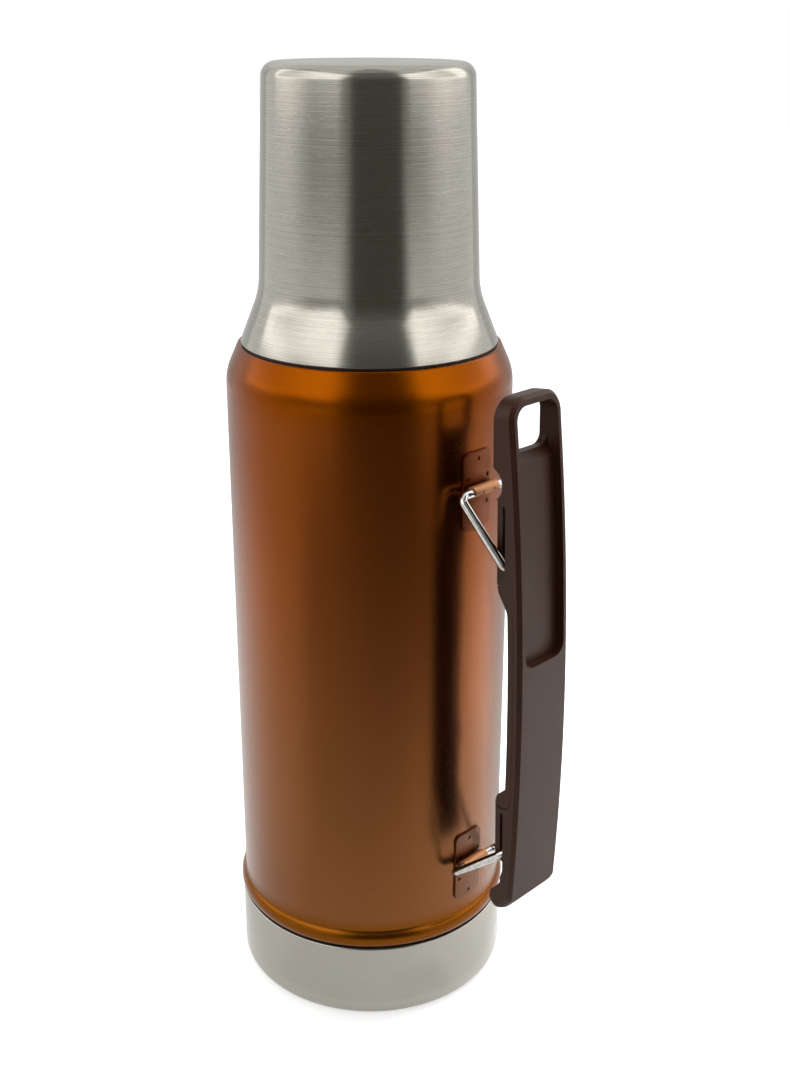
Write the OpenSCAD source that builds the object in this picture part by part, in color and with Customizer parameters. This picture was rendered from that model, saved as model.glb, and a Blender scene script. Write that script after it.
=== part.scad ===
// Vacuum bottle of growler size, with a cup lid, a screw stopper and a folding side handle.
// Millimetres. The origin is the middle of the foot, +Z is up and the handle is on the +X side.

/* [Body] */
// Outer diameter of the painted body
body_d = 107; // [100:0.5:114]
// Sheet thickness of the painted body
shell_wall = 0.8; // [0.5:0.1:1.1]
// Height at which the straight side ends
body_top = 249.4; // [246:0.2:262]
// Radius of the round between side and shoulder
shoulder_round = 20; // [14:1:24]
// Slope of the shoulder cone, from the vertical
shoulder_angle = 24; // [20:1:28]
// Height of the shoulder above the straight side
shoulder_h = 14.6; // [13:0.2:17]
// Height of the rolled bead above the foot
bead_h = 7.4; // [6:0.2:8.6]
// How far the bead stands out from the side
bead_out = 1.8; // [1.4:0.1:2.4]
// Outer diameter of the neck that the cup goes over
neck_d = 72.8; // [71:0.2:73.6]
// Height of the neck above the shoulder
neck_h = 24; // [20:0.5:26]

/* [Foot] */
// Height of the steel foot
base_h = 32; // [26:0.5:36]
// Sheet thickness of the foot
base_wall = 1.1; // [0.7:0.1:1.4]
// Radius of the foot's lower edge
base_edge = 4.5; // [2.5:0.5:6]
// Thickness of the black ring between foot and bead
gasket_t = 0.5; // [0.3:0.1:0.8]

/* [Flask] */
// Clear space between the two walls
vacuum_gap = 5.4; // [4:0.2:7]
// Sheet thickness of the inner flask
flask_wall = 0.8; // [0.5:0.1:1]
// Height of the flask's floor above the surface
flask_z = 30; // [27:0.5:36]
// Radius of the flask's shoulder
flask_round = 14; // [11:0.5:16]
// Diameter of the mouth
mouth_d = 62; // [59:0.5:64]
// Thickness of the rolled lip
lip_t = 1.2; // [0.8:0.1:1.8]
// Height of the dished plate that closes the vacuum space
dish_z = 18; // [14:0.5:22]
// Thickness of the foil on the flask
foil_t = 0.2; // [0.1:0.05:0.4]

/* [Cup] */
// Height of the cup
cup_h = 97; // [90:0.5:110]
// Diameter of the rim
cup_rim_d = 95.6; // [95:0.1:97]
// Distance from the neck to the outside of the cup, where the skirt meets the wall
cup_room = 4.1; // [3.6:0.1:5.4]
// How much narrower the cup is at its closed end
cup_taper = 6.4; // [3:0.2:7.4]
// Height of the flared skirt
skirt_h = 17.8; // [15:0.2:20]
// Radius of the closed end's edge
cup_edge = 5; // [3:0.1:6]
// Sheet thickness of the cup
cup_wall = 0.8; // [0.5:0.1:1]
// Wall of the plastic liner
liner_wall = 1.2; // [0.9:0.1:1.6]
// Height of the black lip under the rim
lip_line = 1.2; // [0.8:0.1:1.8]
// Diameter of the black lip
lip_line_d = 94.8; // [94:0.1:95.4]

/* [Stopper] */
// Length of the plug below the lip
plug_h = 31; // [26:0.5:34]
// Wall of the plug
plug_wall = 2; // [1.5:0.1:3]
// Diameter of the flange that sits on the lip
flange_d = 66.5; // [65:0.5:68]
// Thickness of the flange
flange_t = 3.5; // [2.5:0.1:4.5]
// Height of the fluted knob
knob_h = 9; // [7:0.5:10.5]
// Diameter of the fluted knob
knob_d = 62; // [58:0.5:63]
// Number of flutes round the knob
flutes = 16; // [8:1:20]
// Depth of the two pouring channels
pour_depth = 1.2; // [0.8:0.1:1.4]
// Width of the two pouring channels
pour_w = 14; // [10:0.5:18]

/* [Brackets] */
// Width of a bracket's plate
plate_w = 14.4; // [13:0.2:15]
// Height of a bracket's plate
plate_h = 29.4; // [26:0.2:32]
// Thickness of a bracket's plate
plate_t = 0.8; // [0.6:0.1:1]
// Corner radius of a bracket's plate
plate_corner = 2.6; // [1.5:0.1:4]
// Height of the upper hinge
upper_hinge_z = 219; // [214:0.5:224]
// Height of the lower hinge
lower_hinge_z = 63.5; // [61:0.5:68]
// How far the hinge axis stands off the body
hinge_off = 3.4; // [3.4:0.1:3.8]
// Outer diameter of the rolled knuckle
knuckle_d = 4.6; // [4.5:0.1:5]
// Length of the rolled knuckle
knuckle_w = 12.6; // [12:0.2:14]
// Diameter of a spot weld's mark
weld_d = 1.6; // [1:0.1:2]

/* [Bails] */
// Wire diameter
wire_d = 3.2; // [2.8:0.1:3.4]
// Length of a bail from hinge to handle
bail_l = 30.2; // [29.6:0.1:31]
// Width between the arms' centres at the hinge
hinge_span = 25.4; // [25:0.1:25.8]
// Angle by which each arm leans inwards
bail_taper = 3.4; // [3:0.1:3.8]
// Bend radius of the wire
wire_bend = 3; // [2.6:0.1:3.2]
// Length of each free end in the handle
wire_end = 7.5; // [7:0.1:8]
// Angle of the upper bail below the horizontal
upper_angle = 48.2; // [47:0.2:50]

/* [Handle] */
// Width of the handle
handle_w = 27.8; // [27.4:0.1:28.6]
// Lean of the handle towards the body
handle_tilt = 1.6; // [0.8:0.1:2]
// Height of the handle above the upper wire
handle_rise = 62; // [60:0.5:66]
// Depth of the handle below the lower wire
handle_drop = 22.4; // [21.6:0.1:24]
// Distance of the bowed front from the wires' line
handle_front = 9.4; // [8.8:0.1:10]
// Radius of the handle's bow
bow_r = 1020; // [900:10:1300]
// Bevel along the front edges
handle_bevel = 1.4; // [1:0.1:1.8]
// Corner radius of the handle's top
top_corner = 8; // [7.2:0.1:9]
// Radius of the round along the sides of the handle's lower end
foot_corner = 4; // [2.5:0.1:4.5]
// Inner face of the finger loop, behind the wires' line
loop_back = 3.4; // [3:0.1:4]
// Width of the finger hole and of the recess
hole_w = 22; // [21.4:0.1:22.4]
// Height of the finger hole
hole_h = 17.5; // [16:0.1:18.4]
// Thickness of the loop over the finger hole
loop_t = 3.4; // [2.8:0.1:3.8]
// Length of the recessed panel below the finger hole
recess_l = 76.8; // [70:0.2:80]
// Depth of the recessed panel
recess_depth = 3.2; // [2.4:0.1:3.4]
// Thickness of the outer moulding along the grip
grip_t = 3.1; // [3:0.1:3.4]
// Thickness of the grip insert
insert_t = 2.8; // [2.6:0.1:3.2]
// Width of the inner rails beside the slots
rail_w = 18; // [17:0.1:18.1]
// Inner face of the rails, behind the wires' line
rail_back = 5.5; // [5.2:0.1:6]
// Upper slot length above the wire
upper_slot = 22; // [20:0.5:22.5]
// Room in the slots between a wire and the strip behind it
slot_room = 1.6; // [1.2:0.1:1.7]
// Travel of the lower wire up its slot
slot_up = 17.6; // [17:0.1:18]
// Travel of the lower wire down its slot
slot_down = 2.2; // [2:0.1:2.6]
// Width of the boss under the recess that fills the insert
boss_w = 22.4; // [20:0.2:23]

/* [Hidden] */
$fn = 96;

// Clearances
press_fit = 0.05;
seat_gap = 0.05;
hinge_fit = 0.08;
slot_fit = 0.35;
snap_fit = 0.2;
plug_fit = 0.35;
thread_fit = 1;
eps = 1;

// Colours
copper = [0.62, 0.30, 0.10];
steel = [0.72, 0.70, 0.67];
black = [0.08, 0.08, 0.08];
brown = [0.24, 0.19, 0.17];
chrome = [0.85, 0.86, 0.88];
foam = [0.90, 0.88, 0.80];
silicone = [0.55, 0.55, 0.55];

// Body and foot, worked out from the sizes above
body_r = body_d / 2;
shell_in = body_r - shell_wall;
base_r = body_r + press_fit + base_wall;
bead_z = base_h + gasket_t;
bead_r = (pow(bead_h / 2, 2) + pow(bead_out, 2)) / (2 * bead_out);
bead_c = [body_r + bead_out - bead_r, bead_z + bead_h / 2];
bead_half = asin(bead_h / 2 / bead_r);
bead_in_half = acos((shell_in - bead_c[0]) / (bead_r - shell_wall));
round_c = [body_r - shoulder_round, body_top];
ledge_z = body_top + shoulder_h;
neck_r = neck_d / 2;
neck_z = ledge_z + neck_h;
lip_z = neck_z + lip_t;
dish_rim = 10;
skirt_z = dish_z - dish_rim;

// Flask
flask_r = shell_in - vacuum_gap;
flask_in = flask_r - flask_wall;
mouth_r = mouth_d / 2;
throat_r = mouth_r + flask_wall;
flask_slope = 55;
flask_drop = 21;
flask_top = ledge_z - flask_drop;
flask_c = [flask_r - flask_round, flask_top];

// Cup
cup_z = ledge_z + seat_gap + lip_line;
cup_top = cup_z + cup_h;
waist_z = cup_z + skirt_h;
cup_rim_r = cup_rim_d / 2;
cup_waist_r = neck_r + cup_room;
cup_end_r = cup_waist_r - cup_taper / 2;
skirt_step = cup_wall / cos(atan((cup_rim_r - cup_waist_r) / skirt_h));
collar_top = waist_z + 1;
collar_bore = neck_r + thread_fit;

// Stopper
plug_r = mouth_r - plug_fit;
plug_z = lip_z - plug_h;
flange_z = lip_z + seat_gap;
cap_z = flange_z + flange_t;
well_r = plug_r - plug_wall - 1.2;
well_z = plug_z + 3;
groove = 1.2;
gasket_z = plug_z + 3.4;
gasket_h = 3;
ring_r = 0.7;
ring_z = lip_z - 3;

// Hinges and bails
hinge_x = body_r + hinge_off;
wire_r = wire_d / 2;
knuckle_r = knuckle_d / 2;
handle_span = hinge_span - 2 * bail_l * tan(bail_taper);
upper_bar = [hinge_x + bail_l * cos(upper_angle), upper_hinge_z - bail_l * sin(upper_angle)];
lean = tan(handle_tilt);
lower_reach = upper_bar[0] - hinge_x + (upper_bar[1] - lower_hinge_z) * lean;
lower_angle = handle_tilt + acos(lower_reach * cos(handle_tilt) / bail_l);
lower_bar = [hinge_x + bail_l * cos(lower_angle), lower_hinge_z + bail_l * sin(lower_angle)];
bar_pitch = norm(lower_bar - upper_bar);

// Handle, in its own frame: zero is the upper wire, x points outwards and z along the handle
half_w = handle_w / 2;
lower_z = -bar_pitch;
handle_top = handle_rise;
handle_low = lower_z - handle_drop;
bow_shift = 9;
bow_mid = (handle_top + handle_low) / 2 - bow_shift;
bow_c = [handle_front - bow_r, bow_mid];
slot_r = wire_r + slot_fit;
lane_x = 2;
lane_top = upper_slot + slot_r;
boss_t = 1.4;
hole_corner = 4;
top_cut = handle_top - top_corner - 1;
low_cut = handle_low - 3;
hole_top = handle_top - loop_t;
hole_low = hole_top - hole_h;
upper_notch = [-5.9, bail_l + 1.2];
notch_r = 6.4;
lower_notch = [-3.4, lower_z - 9.4];
lower_notch_r = 4.3;
rail_low = lower_notch[1] - 2;
foot_r = 4.5;
foot_c = [0.4, handle_low + foot_r];
foot_slope = 50;
foot_way = [cos(foot_slope), sin(foot_slope)];
foot_end = foot_c + foot_r * [foot_way[1], -foot_way[0]];
tooth_x = 0;
tooth_z = -slot_r - 1.8;
tongue_t = 1.3;
seam_start = tooth_z - 1.4;
seam_end = seam_start - 9.4;
bulb_r = 3.1;
bulb_c = [1.7, lower_z + slot_up + slot_r + bulb_r + 1.7];

// Points on an arc
function arc(c, r, a0, a1, n = 12) =
    [for (i = [0:n]) let (a = a0 + (a1 - a0) * i / n) [c[0] + r * cos(a), c[1] + r * sin(a)]];
function unit(v) = v / norm(v);
// The corner b of the path a, b, c as a round of radius r
function rounded(a, b, c, r, n = 10) =
    let (
        u = unit(a - b),
        v = unit(c - b),
        half = acos(u * v) / 2,
        m = b + unit(u + v) * r / sin(half),
        s = b + u * r / tan(half) - m,
        e = b + v * r / tan(half) - m,
        a0 = atan2(s[1], s[0]),
        turn = (atan2(e[1], e[0]) - a0 + 900) % 360 - 180
    ) arc(m, r, a0, a0 + turn, n);
// Distance of the bowed front from the wires' line, at a depth under the surface
function bow_x(z, depth) = bow_c[0] + sqrt(pow(bow_r - depth, 2) - pow(z - bow_c[1], 2));
function bow_angle(z) = asin((z - bow_c[1]) / bow_r);
function ease(t) = (1 - cos(180 * t)) / 2;
function mix(a, b, t) = a + (b - a) * t;

module spin(points) { rotate_extrude() polygon(points); }

// A bar along Y that has the given outline in x and z
module across(w) { rotate([90, 0, 0]) linear_extrude(w, center = true) children(); }

// A bar along X that has the given outline in y and z
module outwards(x0, x1) { translate([x0, 0, 0]) rotate([90, 0, 90]) linear_extrude(x1 - x0) children(); }

module rounded_square(w, h, r) {
    square([w - 2 * r, h], center = true);
    square([w, h - 2 * r], center = true);
    for (x = [-1, 1], y = [-1, 1]) translate([x * (w / 2 - r), y * (h / 2 - r)]) circle(r);
}

// A slot with round ends, from z0 to z1 on the wires' line, with more room behind the wire
module slot_outline(z0, z1, r, back) {
    translate([-back, z0]) square([back + r, z1 - z0]);
    for (z = [z0, z1]) {
        translate([0, z]) circle(r);
        translate([r - back, z]) circle(r);
        translate([r - back, z - r]) square([back - r, 2 * r]);
    }
}

// Painted body with its bead, shoulder and neck
module outer_shell() {
    cone_start = round_c + shoulder_round * [cos(shoulder_angle), sin(shoulder_angle)];
    cone_start_in = round_c + (shoulder_round - shell_wall) * [cos(shoulder_angle), sin(shoulder_angle)];
    ledge_r = cone_start[0] - (ledge_z - cone_start[1]) * tan(shoulder_angle);
    ledge_in = cone_start_in[0] - (ledge_z - shell_wall - cone_start_in[1]) * tan(shoulder_angle);
    color(copper) spin(concat(
        [[body_r, skirt_z]],
        arc(bead_c, bead_r, -bead_half, bead_half),
        arc(round_c, shoulder_round, 0, shoulder_angle),
        [[ledge_r, ledge_z], [neck_r, ledge_z], [neck_r, neck_z], [neck_r - shell_wall, neck_z]],
        [[neck_r - shell_wall, ledge_z - shell_wall], [ledge_in, ledge_z - shell_wall]],
        arc(round_c, shoulder_round - shell_wall, shoulder_angle, 0),
        arc(bead_c, bead_r - shell_wall, bead_in_half, -bead_in_half),
        [[shell_in, skirt_z]]
    ));
}

module base_cup() {
    inner_r = base_r - base_wall;
    color(steel) spin(concat(
        [[0, 0]],
        rounded([0, 0], [base_r, 0], [base_r, base_h], base_edge),
        [[base_r, base_h], [inner_r, base_h]],
        rounded([inner_r, base_h], [inner_r, base_wall], [0, base_wall], base_edge - base_wall),
        [[0, base_wall]]
    ));
}

module base_gasket() {
    inner_r = body_r + press_fit;
    color(black) translate([0, 0, base_h]) difference() {
        cylinder(h = gasket_t, r = inner_r + base_wall * 0.7);
        translate([0, 0, -eps]) cylinder(h = gasket_t + 2 * eps, r = inner_r);
    }
}

// Liner that holds the drink, with the lip that joins it to the neck
module inner_flask() {
    bend = flask_c + flask_round * [cos(flask_slope), sin(flask_slope)];
    bend_in = flask_c + (flask_round - flask_wall) * [cos(flask_slope), sin(flask_slope)];
    throat_z = bend[1] + (bend[0] - throat_r) / tan(flask_slope);
    throat_in = bend_in[1] + (bend_in[0] - mouth_r) / tan(flask_slope);
    color(steel) spin(concat(
        [[flask_r, flask_z]],
        arc(flask_c, flask_round, 0, flask_slope),
        [[throat_r, throat_z], [throat_r, neck_z], [neck_r, neck_z], [neck_r, lip_z]],
        [[mouth_r, lip_z], [mouth_r, throat_in]],
        arc(flask_c, flask_round - flask_wall, flask_slope, 0),
        [[flask_in, flask_z]]
    ));
}

// A pressed dish: flat floor, round corner and an upright rim
module dish(r, rim, corner, t) {
    spin(concat(
        [[0, 0]],
        rounded([0, 0], [r, 0], [r, rim], corner),
        [[r, rim], [r - t, rim]],
        rounded([r - t, rim], [r - t, t], [0, t], corner - t),
        [[0, t]]
    ));
}

module flask_bottom() {
    color(steel) translate([0, 0, flask_z]) dish(flask_in - press_fit, dish_rim, 6, flask_wall);
}

module radiation_foil() {
    inner_r = flask_r + press_fit;
    bare = 6;
    h = flask_top - flask_z - 2 * bare;
    color(chrome) translate([0, 0, flask_z + bare]) difference() {
        cylinder(h = h, r = inner_r + foil_t);
        translate([0, 0, -eps]) cylinder(h = h + 2 * eps, r = inner_r);
    }
}

// Dished plate that closes the vacuum space, with its pumping hole
module shell_bottom() {
    color(steel) translate([0, 0, dish_z]) mirror([0, 0, 1]) difference() {
        dish(shell_in - press_fit, dish_rim, 5, shell_wall);
        translate([0, 0, -eps]) cylinder(h = shell_wall + 2 * eps, d = 3);
    }
}

module vacuum_seal() {
    seal_t = 1;
    color(chrome) translate([0, 0, dish_z - shell_wall - seal_t]) cylinder(h = seal_t, d = 12);
}

module getter() {
    color(chrome) translate([flask_r / 2, 0, dish_z]) difference() {
        cylinder(h = 4, d = 14);
        translate([0, 0, 1]) cylinder(h = 4, d = 11);
    }
}

// Stamped bracket: curved plate, rolled knuckle and six spot welds
module bracket(hinge_z, plate_mid) {
    seat_r = body_r + press_fit;
    dent_d = 2.6;
    dent_floor = 0.25;
    // Across and up, as parts of the plate's size
    welds = [[0, 0.41], [-0.36, 0.17], [0.36, 0.17], [-0.36, -0.17], [0.36, -0.17], [0, -0.41]];
    color(copper) difference() {
        union() {
            intersection() {
                translate([0, 0, plate_mid - plate_h]) cylinder(h = 2 * plate_h, r = seat_r + plate_t);
                outwards(body_r / 2, body_r * 1.2)
                    translate([0, plate_mid]) rounded_square(plate_w, plate_h, plate_corner);
            }
            translate([hinge_x, 0, hinge_z]) across(knuckle_w) circle(knuckle_r);
            translate([body_r - plate_t, -knuckle_w / 2, hinge_z - plate_t])
                cube([hinge_off + plate_t, knuckle_w, 2 * plate_t]);
        }
        translate([0, 0, plate_mid - plate_h]) cylinder(h = 2 * plate_h, r = seat_r);
        translate([hinge_x, 0, hinge_z]) across(knuckle_w + 2 * eps) circle(wire_r + hinge_fit);
        // The strap is rolled but not closed, so the wire shows below it
        translate([hinge_x - wire_r / 2, -knuckle_w / 2 - eps, hinge_z - knuckle_d - wire_r / 2])
            cube([knuckle_d, knuckle_w + 2 * eps, knuckle_d]);
        // Two dents in the front of the strap
        for (y = [-0.26, 0.26] * knuckle_w) translate([hinge_x, y, hinge_z]) rotate([0, 100, 0])
            translate([0, 0, wire_r + hinge_fit + dent_floor]) cylinder(h = knuckle_d, d = dent_d);
        for (w = welds) translate([0, 0, plate_mid + w[1] * plate_h]) rotate(asin(w[0] * plate_w / seat_r))
            rotate([0, 90, 0]) translate([0, 0, seat_r + plate_t / 2]) cylinder(h = plate_t, d = weld_d);
    }
}

module upper_bracket() { bracket(upper_hinge_z, upper_hinge_z - 1); }
module lower_bracket() { bracket(lower_hinge_z, lower_hinge_z - 2.5); }

// Round wire that starts along X and turns left after each run but the last. The bends are a trace
// thicker than the runs, which reach into them.
module bent_wire(runs, turns, step = 0) {
    lap = 0.2;
    translate([-lap, 0, 0]) rotate([0, 90, 0]) cylinder(h = runs[step] + 2 * lap, r = wire_r);
    if (step < len(turns)) translate([runs[step], wire_bend, 0]) {
        rotate(-90) rotate_extrude(angle = turns[step]) translate([wire_bend, 0]) circle(wire_r + 0.02);
        rotate(turns[step]) translate([0, -wire_bend, 0]) bent_wire(runs, turns, step + 1);
    }
}

// Bail in its own plane: hinge on the Y axis, free ends at the handle
module bail() {
    hinge_turn = 90 + bail_taper;
    handle_turn = 90 - bail_taper;
    hinge_trim = wire_bend * tan(hinge_turn / 2);
    handle_trim = wire_bend * tan(handle_turn / 2);
    end_run = wire_end - handle_trim;
    arm_run = bail_l / cos(bail_taper) - hinge_trim - handle_trim;
    hinge_run = hinge_span - 2 * hinge_trim;
    color(chrome) translate([bail_l, handle_span / 2 - wire_end, 0]) rotate(90) bent_wire(
        [end_run, arm_run, hinge_run, arm_run, end_run],
        [handle_turn, hinge_turn, hinge_turn, handle_turn]
    );
}

module upper_bail() { translate([hinge_x, 0, upper_hinge_z]) rotate([0, upper_angle, 0]) bail(); }
module lower_bail() { translate([hinge_x, 0, lower_hinge_z]) rotate([0, -lower_angle, 0]) bail(); }

module handle_frame() {
    translate([upper_bar[0], 0, upper_bar[1]]) rotate([0, -handle_tilt, 0]) children();
}

// Frame on the bowed front, with z along the handle and x outwards
module on_bow(z) {
    translate([bow_c[0], 0, bow_c[1]]) rotate([0, -bow_angle(z), 0]) translate([bow_r, 0, 0]) children();
}

// A section of the handle carried along the bow, from one height to another
module along_bow(z0, z1, section) {
    translate([bow_c[0], 0, bow_c[1]]) rotate([90, 0, 0]) rotate(bow_angle(z0))
        rotate_extrude(angle = bow_angle(z1) - bow_angle(z0), $fn = 2400) polygon(section);
}

// Square end of the handle with round corners and a bevelled front edge. It laps over the bar and is a
// trace larger, and so are its corners, so that no two faces coincide.
module handle_end(h, corner, depth) {
    b = handle_bevel;
    lap = 1;
    proud = 0.02;
    w = half_w + proud;
    r = corner + proud;
    translate([proud, 0, 0]) {
        intersection() {
            translate([-2 * depth, -handle_w, -lap]) cube([3 * depth, 2 * handle_w, 2 * h]);
            for (side = [-1, 1]) translate([0, side * (w - corner), h - corner]) rotate([0, 90, 0]) {
                translate([0, 0, -depth]) cylinder(h = depth - b, r = r);
                translate([0, 0, -b]) cylinder(h = b, r1 = r, r2 = r - b);
            }
        }
        across(2 * (w - corner)) polygon([[-depth, 0], [0, 0], [0, h - b], [-b, h], [-depth, h]]);
        translate([0, 0, -lap]) linear_extrude(h - corner + lap)
            polygon([[-depth, -w], [-b, -w], [0, b - w], [0, w - b], [-b, w], [-depth, w]]);
    }
}

// The bowed bar that the handle is cut from
module handle_bar() {
    spare = 4;
    depth = handle_front + loop_back + spare;
    b = handle_bevel;
    along_bow(low_cut, top_cut, [
        [bow_r - depth, -half_w], [bow_r - b, -half_w], [bow_r, b - half_w],
        [bow_r, half_w - b], [bow_r - b, half_w], [bow_r - depth, half_w]
    ]);
    on_bow(top_cut) handle_end(handle_top - top_cut, top_corner, depth);
}

// Inner edge of the outer moulding along the grip
function seam_points(gap) = concat(
    [for (i = [0:8]) let (z = mix(seam_start, seam_end, i / 8))
        [mix(tooth_x, bow_x(z, grip_t), ease(i / 8)) - gap, z]],
    [for (i = [1:12]) let (z = mix(seam_end, bulb_c[1], i / 12)) [bow_x(z, grip_t) - gap, z]]
);

// Side outline of the outer moulding
module handle_side() {
    far = handle_front + 10;
    difference() {
        polygon(concat(
            [[far, handle_top + 5], [-loop_back, handle_top + 5], [-loop_back, upper_notch[1]]],
            [[upper_notch[0] + 1, upper_notch[1] - 3], [lane_x, lane_top]],
            [[lane_x, -slot_r], [tooth_x, tooth_z]],
            seam_points(0),
            [[tooth_x - 0.5, bulb_c[1]], [tooth_x - 0.5, lower_z + slot_up + slot_r + 0.2]],
            [[lane_x, lower_z + slot_up + slot_r - 0.8], [lane_x, lower_notch[1] + lower_notch_r]],
            [[lower_notch[0] + lower_notch_r - 0.3, lower_notch[1]]],
            arc(foot_c, foot_r, 110, 270 + foot_slope, 24),
            [foot_end + 2 * far * foot_way, [2 * far, handle_top]]
        ));
        translate(bulb_c) circle(bulb_r + snap_fit);
    }
}

// Side outline of the boss behind the recess, grown by a gap
module recess_boss(gap) {
    over = 3;
    under = 2;
    low = hole_low - recess_l - over - gap;
    high = seam_end + under + gap;
    polygon(concat(
        [for (i = [0:8]) let (z = mix(high, low, i / 8)) [bow_x(z, grip_t + boss_t) - gap, z]],
        [for (i = [0:8]) let (z = mix(low, high, i / 8)) [bow_x(z, grip_t / 2), z]]
    ));
}

// Inner rails that keep the wires in their slots
module rails() {
    reach = lane_x + 2;
    tongue_back = tooth_x - snap_fit - tongue_t;
    across(rail_w) difference() {
        union() {
            translate([-rail_back, seam_start - 2])
                square([rail_back + tongue_back - snap_fit, 2 + eps]);
            translate([-rail_back, seam_start + snap_fit])
                square([rail_back + reach, upper_notch[1] - seam_start - snap_fit]);
            translate([-rail_back, rail_low])
                square([rail_back + reach, lower_z + slot_up + slot_r + 1 - rail_low]);
        }
        slot_outline(0, upper_slot, slot_r, wire_r + slot_room);
        slot_outline(lower_z - slot_down, lower_z + slot_up, slot_r, wire_r + slot_room);
    }
}

module handle_shell() {
    color(brown) handle_frame() difference() {
        union() {
            intersection() {
                handle_bar();
                across(2 * handle_w) handle_side();
            }
            across(boss_w) recess_boss(0);
            rails();
        }
        across(2 * handle_w) {
            translate(upper_notch) circle(notch_r);
            translate(lower_notch) circle(lower_notch_r);
        }
        finger_hole();
        panel_recess();
        foot_rounds();
    }
}

// Cutters that round the side edges of the sloped lower end. They are a trace larger than their
// radius, so that they cross the faces and don't just touch them.
module foot_rounds() {
    r = foot_corner;
    proud = 0.02;
    cut = concat(arc([-r, -r], r + proud, 0, 90, 10), [[-r, r], [r, r], [r, -r]]);
    for (side = [-1, 1])
        translate([foot_end[0], side * half_w, foot_end[1]]) rotate([0, -foot_slope, 0])
            outwards(-2 * r, 4 * r) polygon([for (c = cut) [side * c[1], -c[0]]]);
}

module finger_hole() {
    upper = top_corner - (half_w - hole_w / 2);
    lower = hole_corner;
    outwards(-bow_r / 20, bow_r / 20) {
        translate([-hole_w / 2, hole_low + lower]) square([hole_w, hole_h - lower - upper]);
        translate([-hole_w / 2 + upper, hole_low + lower]) square([hole_w - 2 * upper, hole_h - lower]);
        translate([-hole_w / 2 + lower, hole_low]) square([hole_w - 2 * lower, hole_h / 2]);
        for (s = [-1, 1]) {
            translate([s * (hole_w / 2 - upper), hole_top - upper]) circle(upper);
            translate([s * (hole_w / 2 - lower), hole_low + lower]) circle(lower);
        }
    }
}

// Sunk panel in the front, left bare, with a slope up to the finger hole
module panel_recess() {
    floor_r = bow_r - recess_depth;
    low = hole_low - recess_l;
    corner = 5;
    slope = 2.6;
    slope_end = hole_low + hole_corner + eps;
    floor_x = bow_x(hole_low, recess_depth);
    across(hole_w) polygon([
        [floor_x + eps, hole_low - slope - eps], [floor_x - slope, hole_low],
        [floor_x - slope, slope_end], [floor_x + eps, slope_end]
    ]);
    intersection() {
        along_bow(low - eps, hole_low + hole_h / 2, [
            [floor_r, -half_w], [bow_r + eps, -half_w], [bow_r + eps, half_w], [floor_r, half_w]
        ]);
        outwards(-handle_front, 2 * handle_front) {
            translate([-hole_w / 2, low + corner]) square([hole_w, recess_l]);
            translate([-hole_w / 2 + corner, low]) square([hole_w - 2 * corner, recess_l]);
            for (s = [-1, 1]) translate([s * (hole_w / 2 - corner), low + corner]) circle(corner);
        }
    }
}

// Inner strip of the grip, with a tongue at its upper end and a bulb at its lower end
module grip_insert() {
    back = grip_t + insert_t;
    tip_x = tooth_x - snap_fit - tongue_t;
    inner = concat(
        [for (i = [0:8]) let (z = mix(seam_start, seam_end - 1.5, i / 8))
            [mix(tip_x, bow_x(z, back), ease(i / 8)), z]],
        [for (i = [1:12]) let (z = mix(seam_end - 1.5, bulb_c[1], i / 12)) [bow_x(z, back), z]]
    );
    outer = seam_points(snap_fit);
    color(brown) handle_frame() difference() {
        across(handle_w - 2 * snap_fit) {
            polygon(concat(inner, [for (i = [len(outer) - 1:-1:0]) outer[i]]));
            translate(bulb_c) circle(bulb_r);
        }
        across(boss_w + 2 * snap_fit) recess_boss(snap_fit);
    }
}

// Inner edge of the cup's sheet, less a gap, from the rim or the waist up to a height
function cup_inner(gap, z) =
    let (step = cup_wall + gap, run = (cup_waist_r - cup_end_r) / (cup_top - waist_z))
    [cup_waist_r - step - (z - waist_z) * run, z];

module cup_shell() {
    rim = [cup_rim_r, cup_z];
    waist = [cup_waist_r, waist_z];
    end = [cup_end_r, cup_top];
    inner_end = cup_inner(0, cup_top - cup_wall);
    inner_waist = cup_inner(0, waist_z);
    color(steel) spin(concat(
        [rim],
        rounded(rim, waist, end, 5),
        rounded(waist, end, [0, cup_top], cup_edge),
        [[0, cup_top], [0, cup_top - cup_wall]],
        rounded([0, cup_top - cup_wall], inner_end, inner_waist, cup_edge - cup_wall),
        [inner_waist, [cup_rim_r - skirt_step, cup_z]]
    ));
}

module cup_liner() {
    top = cup_top - cup_wall - press_fit;
    floor_z = top - liner_wall;
    color(black) spin(concat(
        [cup_inner(press_fit, collar_top)],
        rounded(cup_inner(press_fit, collar_top), cup_inner(press_fit, top), [0, top], cup_edge - cup_wall),
        [[0, top], [0, floor_z]],
        rounded([0, floor_z], cup_inner(press_fit + liner_wall, floor_z),
            cup_inner(press_fit + liner_wall, collar_top), 2),
        [cup_inner(press_fit + liner_wall, collar_top)]
    ));
}

// Black ring that screws on to the neck and shows as a line under the rim
module cup_collar() {
    rim_in = cup_rim_r - skirt_step - press_fit;
    color(black) spin([
        [collar_bore, ledge_z + seat_gap], [lip_line_d / 2, ledge_z + seat_gap],
        [lip_line_d / 2, cup_z], [rim_in, cup_z],
        cup_inner(press_fit, waist_z), cup_inner(press_fit, collar_top), [collar_bore, collar_top]
    ]);
}

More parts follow.
